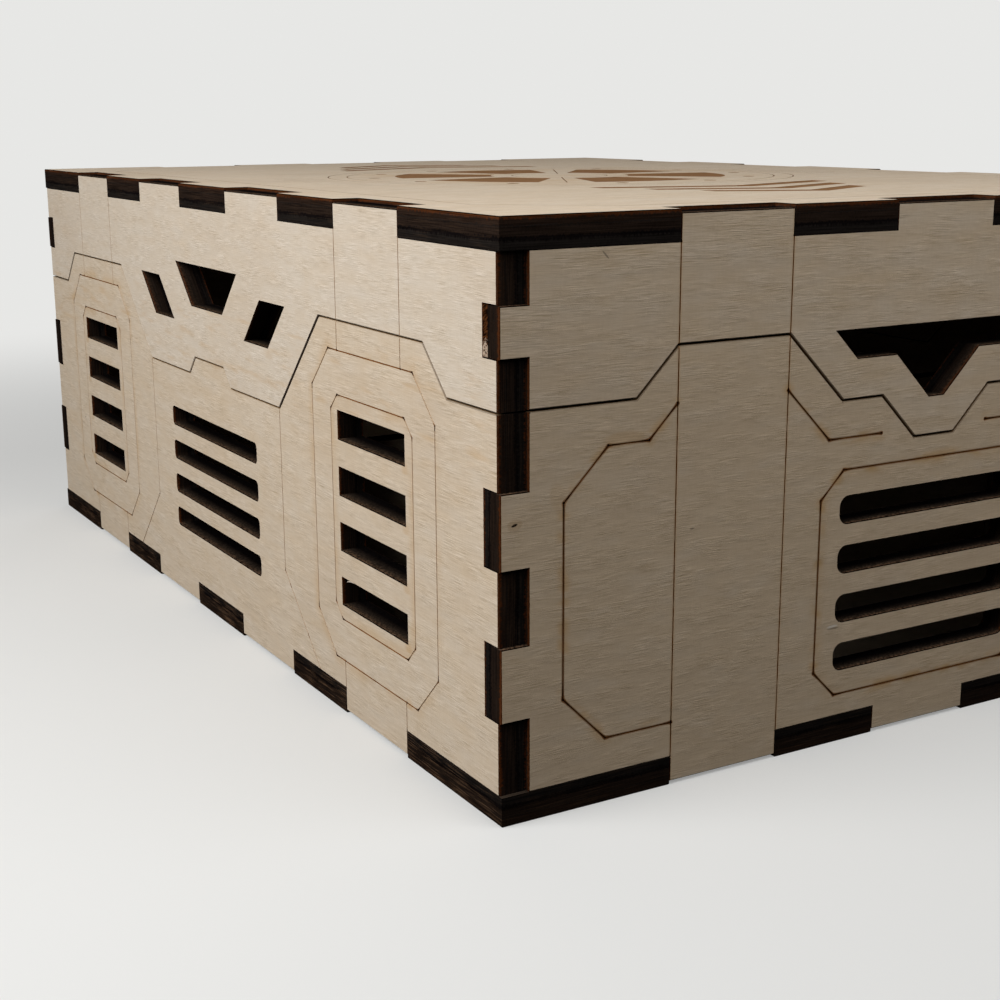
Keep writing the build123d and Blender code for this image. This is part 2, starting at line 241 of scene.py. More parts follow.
class StudioSettings(bpy.types.PropertyGroup):
    """Camera, floor and lamps."""

    camera_place: place("Camera", "Where the camera stands", -163.4, -257.5, 87.4)
    heading: angle("Heading", "Camera's turn from straight ahead towards the right", 30.23)
    pitch: angle("Pitch", "Camera's tilt above level", -13.74)
    roll: angle("Roll", "Camera's turn about its own axis", -0.28)
    focal_ratio: FloatProperty(
        name="Focal ratio", description="Focal length over image width", default=1.5807
    )
    floor: colour("Floor", "Colour of the floor as the camera sees it", 0.80, 0.80, 0.785)
    floor_bounce: colour("Floor bounce", "Colour that the floor casts on the crate", 0.03, 0.03, 0.03)
    ambient: colour("Ambient", "Light from all round", 0.072, 0.072, 0.072)
    key_place: place("Key lamp", "Where the large lamp stands", -328.0, -72.0, 250.0)
    key_size: length("Key size", "Width of the large lamp", 300.0)
    key_power: watts("Key power", 1.44)
    fill_place: place("Fill lamp", "Where the weak lamp in front stands", 60.0, -220.0, 262.0)
    fill_size: length("Fill size", "Width of the weak lamp in front", 250.0)
    fill_power: watts("Fill power", 0.34)
    back_place: place("Back lamp", "Where the lamp behind stands", 650.0, 750.0, 220.0)
    back_size: length("Back size", "Width of the lamp behind", 500.0)
    back_power: watts("Back power", 2.6)


class Field:
    """A shader socket that takes part in plain arithmetic."""

    def __init__(self, recipe, socket):
        self.recipe = recipe
        self.socket = socket

    def __add__(self, other):
        return self.recipe.maths("ADD", self, other)

    __radd__ = __add__

    def __sub__(self, other):
        return self.recipe.maths("SUBTRACT", self, other)

    def __rsub__(self, other):
        return self.recipe.maths("SUBTRACT", other, self)

    def __mul__(self, other):
        return self.recipe.maths("MULTIPLY", self, other)

    __rmul__ = __mul__

    def __truediv__(self, other):
        return self.recipe.maths("DIVIDE", self, other)

    def __mod__(self, other):
        return self.recipe.maths("FLOORED_MODULO", self, other)

    def __abs__(self):
        return self.recipe.maths("ABSOLUTE", self)


class Recipe:
    """A tree of shader nodes, written as expressions."""

    def __init__(self, tree):
        self.tree = tree
        tree.nodes.clear()

    def node(self, kind, settings=None, sockets=None, out=0):
        """Add a node, with its settings first and then the values or links of its sockets."""
        node = self.tree.nodes.new(kind)
        for name, value in (settings or {}).items():
            if name == "stops":
                set_stops(node.color_ramp, value)
            else:
                setattr(node, name, value)
        for name, value in (sockets or {}).items():
            if isinstance(value, Field):
                self.tree.links.new(value.socket, node.inputs[name])
            else:
                node.inputs[name].default_value = value
        return Field(self, node.outputs[out]) if node.outputs else None

    def maths(self, operation, *values):
        """Return one step of arithmetic."""
        return self.node("ShaderNodeMath", {"operation": operation}, dict(enumerate(values)))

    def least(self, *values):
        """Return the smallest of several values."""
        result = values[0]
        for value in values[1:]:
            result = self.maths("MINIMUM", result, value)
        return result

    def ramp(self, value, start, stop):
        """Return a smooth change from 0 at start to 1 at stop."""
        return self.node(
            "ShaderNodeMapRange",
            {"interpolation_type": "SMOOTHSTEP"},
            {"Value": value, "From Min": start, "From Max": stop},
        )

    def vector(self, x, y, z=0.0):
        """Return a vector from three values."""
        return self.node("ShaderNodeCombineXYZ", None, {"X": x, "Y": y, "Z": z})

    def split(self, vector):
        """Return a vector's three values."""
        first = self.node("ShaderNodeSeparateXYZ", None, {"Vector": vector})
        return [Field(self, socket) for socket in first.socket.node.outputs]

    def scaled(self, vector, factor):
        """Return a vector or colour multiplied by a value."""
        return self.node(
            "ShaderNodeVectorMath", {"operation": "SCALE"}, {"Vector": vector, "Scale": factor}
        )

    def distance(self, vector, point):
        """Return how far a vector is from a fixed point."""
        sockets = {0: vector, 1: point}
        return self.node("ShaderNodeVectorMath", {"operation": "DISTANCE"}, sockets, "Value")

    def noise(self, vector, detail=2.0, roughness=0.5):
        """Return soft noise about 0.5, one lump for each unit of the vector."""
        sockets = {"Vector": vector, "Scale": 1.0, "Detail": detail, "Roughness": roughness}
        return self.node("ShaderNodeTexNoise", None, sockets)

    def mix(self, factor, first, second):
        """Return two colours mixed."""
        sockets = {0: factor, 6: rgba(first), 7: rgba(second)}
        return self.node("ShaderNodeMix", {"data_type": "RGBA"}, sockets, 2)


def set_stops(ramp, stops):
    """Give a colour ramp its stops."""
    while len(ramp.elements) < len(stops):
        ramp.elements.new(1.0)
    for element, (position, tone) in zip(ramp.elements, stops):
        element.position = position
        element.color = rgba(tone)


def rgba(tone):
    """Return a colour with its alpha, or a field unchanged."""
    return tone if isinstance(tone, Field) else (*tone, 1.0)


class Board:
    """One board's coordinates and masks in its material."""

    def __init__(self, name):
        thick, side, run, rise = BOARDS[name]
        low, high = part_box(name)
        outer = (high if side > 0 else low)[thick] * MM
        self.thickness = (high - low)[thick] * MM
        self.seed = 3.7 * sorted(BOARDS).index(name)
        self.material = bpy.data.materials.new(name + "_finish")
        self.material.use_nodes = True
        self.recipe = Recipe(self.material.node_tree)
        spot = self.recipe.node("ShaderNodeTexCoord", out="Object")
        axes = self.recipe.split(self.recipe.scaled(spot, MM))
        self.along = axes[run]
        self.up = axes[rise]
        self.depth = abs(axes[thick] - outer)
        normal = self.recipe.node("ShaderNodeNewGeometry", out="True Normal")
        directions = self.recipe.split(normal)
        facing = abs(directions[thick])
        self.endwise = self.recipe.ramp(abs(directions[run]), 0.5, 0.9)
        self.level = self.recipe.ramp(abs(directions[Z]), 0.3, 0.6)
        self.upward = self.recipe.ramp(directions[Z], 0.6, 0.9)
        self.flat = self.recipe.ramp(facing, 0.85, 0.95)
        self.edge = self.recipe.ramp(facing, 0.5, 0.3)
        back = self.recipe.ramp(self.depth, self.thickness - 0.3, self.thickness - 0.1)
        self.inside = self.flat * back
        self.sunk = self.flat * self.recipe.ramp(self.depth, 0.02, 0.04) - self.inside


def lumps(board, rise, size, offset, detail=2.0, roughness=0.5):
    """Return noise with lumps of a given size along the grain and across it."""
    spot = board.recipe.vector(board.along / size[0], rise / size[1], board.seed + offset)
    return board.recipe.noise(spot, detail, roughness)


def bare_wood(board, wood, warmth):
    """Return the colour of sanded veneer, and the height of its ripples and fibres."""
    recipe, up = board.recipe, board.up
    level = up + GRAIN_WANDER * lumps(board, up, DRIFT_LUMP, 0.0)
    cloud = lumps(board, up, CLOUD_LUMP, 9.0)
    figure = lumps(board, level, FIGURE_LUMP, 5.0, 2.0, 0.55)
    fibre_lump = (wood.fibre_length * MM, wood.fibre_width * MM)
    fibre = lumps(board, level, fibre_lump, 13.0, 3.0, 0.65)
    ripple_lump = (wood.ripple_length * MM, wood.ripple_width * MM)
    ripple = lumps(board, level, ripple_lump, 17.0, 3.0, 0.6)
    ray = lumps(board, up, RAY_LUMP, 21.0)
    bands = lumps(board, level, BAND_LUMP, 29.0)
    mottle = lumps(board, up, MOTTLE_LUMP, 33.0)
    patch = lumps(board, level, PATCH_LUMP, 37.0)
    warmer = warmth + 0.8 * (figure - 0.5) + 0.6 * (mottle - 0.5)
    tone = recipe.mix(warmer, tuple(wood.pale), tuple(wood.warm))
    tone = recipe.mix(recipe.ramp(cloud, 0.45, 0.80) * 0.35, tone, tuple(wood.tan))
    fleck = recipe.ramp(fibre, 0.66, 0.74)
    tone = recipe.mix(fleck * 0.22, tone, tuple(wood.tan))
    glint = recipe.ramp(lumps(board, level, GLINT_LUMP, 25.0), 0.66, 0.78)
    lively = 0.45 + recipe.ramp(patch, 0.35, 0.65)
    grain = FIBRE_SHADE * (fibre - 0.5) + RIPPLE_SHADE * (ripple - 0.5)
    broad = RAY_SHADE * (ray - 0.5) + BAND_SHADE * (bands - 0.5)
    broad = broad + CLOUD_SHADE * (cloud - 0.5) + GLINT_SHADE * glint
    height = wood.ripple_height * MM * ripple + wood.fibre_height * MM * fibre
    shade = grain * lively + broad
    shade = recipe.vector(
        MEAN_SHADE + RED_SHADE * shade, MEAN_SHADE + shade, MEAN_SHADE + BLUE_SHADE * shade
    )
    tone = recipe.node("ShaderNodeVectorMath", {"operation": "MULTIPLY"}, {0: tone, 1: shade})
    return tone, height * lively


def cut_face(board, laser, char, splinters, rim, far_rim):
    """Return the colour of a charred cut across the plies, and the height of its pulses."""
    recipe, along, up, seed = board.recipe, board.along, board.up, board.seed
    run, through = CUT_STREAK_LUMP
    streak = recipe.noise(recipe.vector(along / run, up / run, board.depth / through + seed), 2.0)
    run = laser.striation * MM
    pulse = recipe.noise(recipe.vector(along / run, up / run, board.depth / PULSE_DEPTH), 1.0)
    spot = recipe.vector(along, up, board.depth)
    grit = recipe.noise(recipe.scaled(spot, 1.0 / GRIT_LUMP), 1.0)
    speckle = recipe.noise(recipe.scaled(spot, 1.0 / SPECKLE_LUMP), 2.0, 0.6)
    speckle = recipe.ramp(speckle, 0.36, 0.64)
    run = CUT_WANDER_LUMP
    wander = recipe.noise(recipe.vector(along / run, up / run, seed + 31.0), 2.0)
    depth = board.depth + 0.30 * (wander - 0.5) + 0.85 * (pulse - 0.5)
    tones = {
        "rim": rim,
        "face_ply": laser.face_ply,
        "core_ply": laser.core_ply,
        "back_ply": laser.back_ply,
        "glue": laser.glue,
        "far_rim": far_rim,
    }
    stops = [(share, tones[ply]) for share, ply in PLIES]
    across = {"Fac": depth / board.thickness}
    plies = recipe.node("ShaderNodeValToRGB", {"stops": stops}, across)
    light = 0.10 + 0.85 * recipe.ramp(streak, 0.30, 0.72) + 0.50 * pulse + 0.55 * grit
    height = laser.cut_height * MM * (pulse + 0.5 * streak + 0.5 * grit)
    tone = recipe.scaled(plies, light * char)
    ash = recipe.ramp(board.depth, SOOT_DEPTH, 0.4)
    soot = recipe.mix(ash, tuple(laser.glue), tuple(laser.ash))
    lip = recipe.ramp(board.depth, LIP_DEPTH, 0.0) * 0.45 * speckle
    soot = recipe.mix(lip, soot, tuple(laser.splinters))
    soot = recipe.scaled(soot, 0.30 + 0.5 * grit + 0.9 * speckle + 0.7 * (wander - 0.5))
    tone = recipe.mix(board.upward * 0.9, tone, soot)
    run, through = CUT_THREAD_LUMP
    spot = recipe.vector(along / run, up / run, board.depth / through + seed + 3.0)
    thread = recipe.noise(spot, 2.0, 0.6)
    run, through = THREAD_PATCH_LUMP
    patch = recipe.noise(recipe.vector(along / run, up / run, board.depth / through), 1.0)
    thread = recipe.ramp(thread + 0.25 * (patch - 0.5), 0.56, 0.68) * (1.0 - board.upward)
    thread = thread * (0.2 + 0.8 * board.endwise)
    return recipe.mix(thread * splinters, tone, tuple(laser.splinters)), height


def nearest_corner(board, along, up, corners):
    """Return the distance to the nearest of an engraving's corners."""
    spot = board.recipe.vector(along, up)
    gaps = [board.recipe.distance(spot, (u, v, 0.0)) for u, v in corners]
    return board.recipe.least(*gaps)


def frame_gap(board, along, up, cut_frame):
    """Return how far inside a cut-corner frame a point is, below zero outside."""
    middle, half, low, high, corner = cut_frame
    across = half - abs(along - middle)
    tall = (high - low) / 2 - abs(up - (high + low) / 2)
    slant = (across + tall - corner) / sqrt(2.0)
    return board.recipe.least(across, tall, slant)


def frame_corners(cut_frame):
    """Return the corners of a cut-corner frame's outer half."""
    middle, half, low, high, corner = cut_frame
    return [
        (middle + half - corner, low),
        (middle + half, low + corner),
        (middle + half, high - corner),
        (middle + half - corner, high),
    ]


def line_gap(board, along, up, *lines):
    """Return the distance to the nearest of several bent lines."""
    recipe = board.recipe
    spot = recipe.vector(along, up)
    gaps = []
    for line in lines:
        for (u0, v0), (u1, v1) in zip(line, line[1:]):
            reach = sqrt((u1 - u0) ** 2 + (v1 - v0) ** 2)
            way = ((u1 - u0) / reach, (v1 - v0) / reach, 0.0)
            start = {0: spot, 1: (u0, v0, 0.0)}
            offset = recipe.node("ShaderNodeVectorMath", {"operation": "SUBTRACT"}, start)
            ahead = {0: offset, 1: way}
            ahead = recipe.node("ShaderNodeVectorMath", {"operation": "DOT_PRODUCT"}, ahead, "Value")
            ahead = recipe.maths("MAXIMUM", recipe.least(ahead, reach), 0.0)
            foot = recipe.scaled(way, ahead)
            gaps.append(recipe.distance(offset, foot))
    return recipe.least(*gaps)


def ellipse(board, middle, half_sizes, turn=0.0):
    """Return a soft oval spot on the board's face."""
    recipe = board.recipe
    across = board.along - middle[0]
    rise = board.up - middle[1]
    long = (across * cos(turn) + rise * sin(turn)) / half_sizes[0]
    short = (rise * cos(turn) - across * sin(turn)) / half_sizes[1]
    return recipe.ramp(long * long + short * short, 1.3, 0.5) * board.flat


def smoke(board, laser, gap, strength):
    """Return the mask of a smoke stain inside a line, patchy along it."""
    recipe = board.recipe
    patch = recipe.ramp(lumps(board, board.up, SMOKE_LUMP, 41.0), 0.35, 0.62)
    reach = laser.haze_reach * MM
    return recipe.ramp(gap, reach, 0.0) * recipe.ramp(gap, -0.3, 0.0) * (strength * patch)


# The engraving of the walls, in millimetres. Frames: middle, half width, low, high, cut corner
FRONT_FRAME = (0.0, 20.5, 7.2, 39.85, 3.9)
FRONT_BRACKET = (
    (45.0, 51.8), (49.3, 47.5), (55.5, 47.5), (62.0, 41.0), (62.0, 15.4), (55.5, 8.9), (45.0, 8.9)
)
FRONT_MARK = ((27.0, 51.8), (19.5, 44.3), (10.0, 44.3))
FRONT_STRIPS = (27.0, 45.0)
SIDE_MIDDLE = 63.2
SIDE_INNER_FRAME = (0.0, 12.85, 14.7, 48.4, 2.25)
SIDE_OUTER_FRAME = (0.0, 19.3, 8.25, 54.85, 6.05)
SIDE_MARKS = [(30.9, 16.8), (43.7, 4.0)]
SIDE_SLOT_END = 73.8
SIDE_SLOT_LOW = 17.0
SIDE_SLOT_PITCH = 8.317
ROW_LEAD = 1.2  # a row of slots is counted from this far below its lower edge
SMUDGE_DROP = 0.5  # a smudge lies this far below a slot's end
SMUDGE_TOP = 44.0  # smudges fade out at this height
# Heights of the painted shadow lines where the walls meet the panels: their middle and half span
PANEL_MIDDLE = 38.0
PANEL_HALF = 34.0
FRONT_SEAM = (
    (3.7, 43.1), (10.1, 49.5), (17.3, 49.5), (27.0, 59.2), (45.0, 59.2), (51.3, 52.9), (66.8, 52.9)
)
SIDE_SEAM = (
    (6.9, 46.1), (10.0, 43.0), (30.9, 43.0), (47.0, 59.1), (79.5, 59.1), (85.8, 52.8), (98.1, 52.8)
)
SIDE_RUNS = (8.25, 14.7, 48.4, 54.85)
HATCH_RADIUS = 43.5

# Depths that tell the engraving apart, in millimetres: fills are shallower than the first, lines
# than the second, and dots are deeper than the third
FILL_STOP = 0.10
LINE_STOP = 0.13
DOT_START = 0.20

# Runs of the side seam: the open one's middle and half length, and the start of the nearly shut one
OPEN_RUN = (-39.0, 8.0)
SHUT_RUN = 79.0

# How strongly the edge along the seam keeps its char against its paler paint, which is partly
# unsinged wood and partly painted light in the gap's shade: the front's, the sides', and more on
# those runs
FRONT_SINGE = 0.60
SIDE_SINGE = 0.25
OPEN_RUN_SINGE = 0.65
SHUT_RUN_SINGE = 0.28
SEAM_BAND_HALF = 0.75
SEAM_PALE_DEPTH = 1.3

# Lumps of the stains in millimetres: along the grain, across it
SMOKE_LUMP = (9.0, 9.0)
HALO_LUMP = (5.0, 2.6)
BLUSH_LUMP = (8.0, 1.7)
BURN_LUMP = (3.0, 3.0)
RAGGED_LUMP = (0.9, 0.9)
HATCH_SMOKE_LUMP = 12.0

# How far stains and scorch reach from a line, in millimetres
HALO_REACH = 1.5
STRIP_STAIN_REACH = 0.45
FRONT_SCORCH_REACH = 0.18
SIDE_SCORCH_REACH = 0.24
SMUDGE_REACH = 1.5
# How far a panel's dark margin reaches in from its outline
DARK_MARGIN_REACH = 4.6

# Heights between which a side's veneer is blotched most, below its seam
BLUSH_HEIGHTS = (41.0, 58.0)


def seam_band(board, seam):
    """Return how far the edge along the seam is painted paler than its char, partly as wood that the
    laser left unsinged and partly as painted light in the gap's shade.
    """
    recipe = board.recipe
    reach = 100.0
    stops = [(u / reach, (z / reach,) * 3) for u, z in seam]
    fold = abs(board.along)
    height = recipe.node("ShaderNodeValToRGB", {"stops": stops}, {"Fac": fold / reach})
    end = seam[-1][0]
    singed = FRONT_SINGE
    if seam == SIDE_SEAM:
        middle, half = OPEN_RUN
        open_run = recipe.ramp(abs(board.along - middle), half + 0.5, half - 0.5)
        shut_run = recipe.ramp(fold, SHUT_RUN - 0.5, SHUT_RUN + 0.5)
        singed = SIDE_SINGE + OPEN_RUN_SINGE * open_run + SHUT_RUN_SINGE * shut_run
    gap = abs(board.up - height * reach)
    band = recipe.ramp(gap, SEAM_BAND_HALF, SEAM_BAND_HALF - 0.2)
    return band * recipe.ramp(fold, end, end - 0.1) * (1.0 - singed)


def level_run(board, levels):
    """Return 1 on the level runs of the engraving, where the laser burnt deeper."""
    gaps = [abs(board.up - level) for level in levels]
    return board.recipe.ramp(board.recipe.least(*gaps), 0.4, 0.25)


def front_smoke(board, laser):
    """Return how far the front's lines are burnt, its smoke stains and its scorch."""
    recipe = board.recipe
    fold = abs(board.along)
    corners = [*FRONT_BRACKET, *FRONT_MARK, *frame_corners(FRONT_FRAME)]
    near = nearest_corner(board, fold, board.up, corners)
    hatch = frame_gap(board, fold, board.up, FRONT_FRAME)
    bent = line_gap(board, fold, board.up, FRONT_BRACKET, FRONT_MARK)
    bent = recipe.least(bent, abs(hatch))
    strips = recipe.least(*[abs(fold - u) for u in FRONT_STRIPS])
    patch = lumps(board, board.up, HALO_LUMP, 45.0)
    halo = recipe.ramp(bent, HALO_REACH, 0.1) * recipe.ramp(patch, 0.46, 0.66)
    beside = recipe.ramp(strips, STRIP_STAIN_REACH, 0.1)
    stain = 0.75 * halo + smoke(board, laser, hatch, 0.3) + 0.35 * beside
    burnt = 0.30 + 0.34 * recipe.ramp(bent, 0.4, 0.2) + 0.40 * recipe.ramp(near, 3.0, 0.3)
    reach = FRONT_SCORCH_REACH + 0.08 * recipe.ramp(near, 0.7, 0.2)
    scorch = recipe.ramp(bent, reach + 0.10, reach - 0.03)
    scorch = scorch * (0.65 + 0.3 * recipe.ramp(near, 2.0, 0.3))
    return burnt, stain, scorch


def side_smoke(board, laser):
    """Return how far a side's lines are burnt, its smoke stains and its scorch."""
    recipe = board.recipe
    fold = abs(board.along)
    shifted = abs(fold - SIDE_MIDDLE)
    frames = frame_corners(SIDE_INNER_FRAME) + frame_corners(SIDE_OUTER_FRAME)
    near = recipe.least(
        nearest_corner(board, shifted, board.up, frames),
        nearest_corner(board, fold, board.up, SIDE_MARKS),
    )
    inner = frame_gap(board, shifted, board.up, SIDE_INNER_FRAME)
    outer = 0.0 - frame_gap(board, shifted, board.up, SIDE_OUTER_FRAME)
    row = (board.up - SIDE_SLOT_LOW + ROW_LEAD) % SIDE_SLOT_PITCH
    below_end = (SIDE_SLOT_END, ROW_LEAD - SMUDGE_DROP, 0.0)
    smudge = recipe.ramp(recipe.distance(recipe.vector(fold, row), below_end), SMUDGE_REACH, 0.3)
    smudge = smudge * recipe.ramp(board.up, SMUDGE_TOP + 2.0, SMUDGE_TOP - 2.0)
    low, high = BLUSH_HEIGHTS
    below = recipe.ramp(board.up, low, low + 6.0) * recipe.ramp(board.up, high, high - 3.0)
    blush = lumps(board, board.up, BLUSH_LUMP, 61.0, 3.0)
    blush = recipe.ramp(blush, 0.50, 0.75) * (0.05 + 0.30 * below)
    stain = smoke(board, laser, inner, 0.4) + smoke(board, laser, outer, 0.4) + 0.4 * smudge + blush
    burnt = 0.80 * level_run(board, SIDE_RUNS) - 0.30 + 0.60 * recipe.ramp(near, 1.1, 0.2)
    lines = recipe.least(abs(inner), abs(outer))
    scorch = recipe.ramp(lines, SIDE_SCORCH_REACH, 0.10) * recipe.ramp(near, 0.9, 0.2) * 0.6
    return burnt, stain, scorch


def top_smoke(board, laser):
    """Return how far the ornament's lines are burnt, its smoke stain and no scorch."""
    recipe = board.recipe
    spot = recipe.vector(board.along, board.up)
    radius = recipe.distance(spot, (0.0, 0.0, 0.0))
    burnt = 0.55 + 0.35 * recipe.ramp(abs(radius - HATCH_RADIUS), 2.5, 0.5)
    run = HATCH_SMOKE_LUMP
    patch = recipe.noise(recipe.vector(board.along / run, board.up / run, 77.0), 3.0)
    stain = recipe.ramp(radius, HATCH_RADIUS + 3.0, HATCH_RADIUS - 12.0)
    stain = stain * recipe.ramp(patch, 0.38, 0.66)
    return burnt, 0.34 * stain, None


def engraving(board, laser, burnt, has_fills):
    """Return the colour of engraved lines and dots, and of filled areas if the board has any."""
    recipe = board.recipe
    patch = lumps(board, board.up, BURN_LUMP, 51.0)
    dot = recipe.ramp(board.depth, DOT_START, DOT_START + 0.02)
    line = recipe.node(
        "ShaderNodeValToRGB",
        {"stops": ((0.0, laser.line_pale), (0.35, laser.line_light), (1.0, laser.line_dark))},
        {"Fac": burnt + 0.8 * (patch - 0.5)},
    )
    line = recipe.mix(dot, line, tuple(laser.line_dark))
    if not has_fills:
        return line
    raster = recipe.noise(recipe.vector(board.along / 1.5, board.up / 0.13, 3.0), 1.0)
    blotch = recipe.noise(recipe.vector(board.along / 5.0, board.up / 3.0, 8.0), 2.0)
    filled = recipe.scaled(tuple(laser.fill), 0.55 + 0.5 * raster + 0.45 * blotch)
    return recipe.mix(recipe.ramp(board.depth, FILL_STOP, FILL_STOP - 0.02), line, filled)


def small_marks(board, tone, marks):
    """Return a face colour with its knots, scratches and chips, and the painted shadow under a chip.
    """
    for middle, half_sizes, turn, mark_tone, strength in marks:
        spot = ellipse(board, middle, half_sizes, turn)
        tone = board.recipe.mix(spot * strength, tone, mark_tone)
    return tone


def specks(board, tone, laser):
    """Return a face colour with a few tiny dark specks of the wood."""
    recipe = board.recipe
    run, rise = SPECK_CELL
    cells = recipe.node(
        "ShaderNodeTexVoronoi",
        {"feature": "F1"},
        {"Vector": recipe.vector(board.along / run, board.up / rise, board.seed), "Scale": 1.0},
        "Distance",
    )
    speck = recipe.ramp(cells, 0.020, 0.010) * board.flat
    return recipe.mix(speck * 0.55, tone, tuple(laser.face_ply))


def dark_margin(board):
    """Return the mask of a dark margin on a panel's inner face, along the panel's outline."""
    low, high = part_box("base_bottom_panel")
    gap = board.recipe.least(high[X] * MM - abs(board.along), high[Y] * MM - abs(board.up))
    return board.inside * board.recipe.ramp(gap, DARK_MARGIN_REACH, 0.2)


def finish_board(
    name,
    marks=(),
    warmth=0.3,
    char=1.1,
    splinters=0.1,
    stain_of=None,
    seam=None,
    torn=None,
    singe=1.0,
):
    """Give a board its bare wood, engraving, smoke stains and charred cuts."""
    scene = bpy.context.scene
    wood, laser = scene.crate_wood, scene.crate_laser
    board = Board(name)
    recipe = board.recipe
    veneer, wood_height = bare_wood(board, wood, warmth)
    veneer = specks(board, veneer, laser)
    # Painted shade: inner faces, and both faces of the dividers, take the dark inner tone of the dim
    # inside of the crate
    painted_inside_shade = board.flat if name.endswith("divider") else board.inside
    veneer = recipe.mix(painted_inside_shade * INSIDE_SHADE_SHARE, veneer, tuple(wood.inner))
    # A panel's inner face darkens nearly to the colour of a charred ply within a few millimetres of
    # its outline
    if name.endswith("panel"):
        veneer = recipe.mix(dark_margin(board) * DARK_MARGIN_SHARE, veneer, tuple(laser.face_ply))
    if stain_of:
        burnt, stain, scorch = stain_of(board, laser)
        outside = 1.0 - board.inside
        veneer = recipe.mix(stain * outside, veneer, tuple(laser.haze_and_seam_light))
        if scorch:
            veneer = recipe.mix(scorch * outside, veneer, tuple(laser.scorch))
        veneer = small_marks(board, veneer, marks)
        line = engraving(board, laser, burnt, stain_of is top_smoke)
        veneer = recipe.mix(board.sunk, veneer, line)
    rim_tone = Vector(laser.core_ply).lerp(Vector(laser.rim), singe)
    far_rim = laser.back_ply if name.endswith("panel") else rim_tone
    cut, cut_height = cut_face(board, laser, char, splinters, rim_tone, far_rim)
    if stain_of:
        cut = recipe.mix(recipe.ramp(board.depth, LINE_STOP, LINE_STOP - 0.01), cut, line)
    if torn:
        cut = torn(board, cut)
    singed = 1.0 - board.flat
    ragged = lumps(board, board.up, RAGGED_LUMP, 71.0)
    ragged = (0.1 + 1.6 * ragged) * (1.0 - 0.95 * board.level)
    rim = recipe.scaled(tuple(rim_tone), ragged)
    if seam:
        band = seam_band(board, seam)
        singed = singed * (1.0 - band * (1.0 - board.edge))
        # The seam's lip takes the pale haze colour: partly unsinged wood, partly painted light
        # against the shade in the gap
        paled_seam_lip = band * recipe.ramp(board.depth, SEAM_PALE_DEPTH, 0.4) * 0.8
        cut = recipe.mix(paled_seam_lip, cut, tuple(laser.haze_and_seam_light))
        # Painted shadow line: the wall's rim where it meets a panel takes the dark glue colour for
        # the shade in the joint
        joint_shade = recipe.ramp(abs(abs(board.up - PANEL_MIDDLE) - PANEL_HALF), 0.3, 0.2)
        rim = recipe.mix(joint_shade, rim, tuple(laser.glue))
    tone = recipe.mix(singed, veneer, rim)
    tone = recipe.mix(board.edge, tone, cut)
    height = wood_height * board.flat + cut_height * (1.0 - board.flat)
    charred = recipe.least(board.edge + board.sunk, 1.0)
    bump = recipe.node(
        "ShaderNodeBump", None, {"Strength": 1.0, "Distance": 1.0 / MM, "Height": height}
    )
    shader = recipe.node(
        "ShaderNodeBsdfPrincipled",
        None,
        {
            "Base Color": tone,
            "Roughness": wood.roughness + (laser.roughness - wood.roughness) * charred,
            "Specular IOR Level": 0.0,
            "Normal": bump,
        },
    )
    recipe.node("ShaderNodeOutputMaterial", None, {"Surface": shader})
    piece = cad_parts[name]
    piece.data.materials.clear()
    piece.data.materials.append(board.material)
    return board


# The lid's left front finger end, in millimetres: its heights, its face, and where its ply is torn
TORN_FINGER = (58.8, 66.2)
TORN_FACE = -70.7
TORN_PLY = 2.7
TORN_HEIGHTS = (59.2, 63.5)
TORN_PULSE_LUMP = (1.2, 0.30)
TEAR_LUMP = (0.45, 0.40)


def torn_end(board, cut):
    """Return the lid front's cut colour with a torn inner ply on its left finger end."""
    recipe, up, depth = board.recipe, board.up, board.depth
    low, high = TORN_FINGER
    finger = recipe.ramp(up, low, low + 0.3) * recipe.ramp(up, high, high - 0.2)
    ply = recipe.ramp(depth, TORN_PLY, TORN_PLY + 0.2) * finger
    ply = ply * recipe.ramp(board.along, TORN_FACE, TORN_FACE - 0.2)
    through, rise = TORN_PULSE_LUMP
    pulse = recipe.noise(recipe.vector(depth / through, (up + 0.5 * depth) / rise, 6.0), 2.0)
    singed_ply = (0.064, 0.022, 0.007)
    singed = recipe.scaled(singed_ply, 0.1 + 1.6 * recipe.ramp(pulse, 0.40, 0.65))
    cut = recipe.mix(ply * 0.9, cut, singed)
    low, high = TORN_HEIGHTS
    through, rise = TEAR_LUMP
    tear = recipe.noise(recipe.vector(depth / through, up / rise, 4.0), 3.0, 0.7)
    tear = tear + 0.42 * recipe.ramp(up, high + 0.3, low + 1.0)
    mask = recipe.ramp(tear, 0.84, 0.92)
    mask = mask * recipe.ramp(up, high, high - 0.5) * recipe.ramp(up, low, low + 0.3)
    torn_wood = (0.46, 0.35, 0.26)
    return recipe.mix(mask * ply, cut, torn_wood)


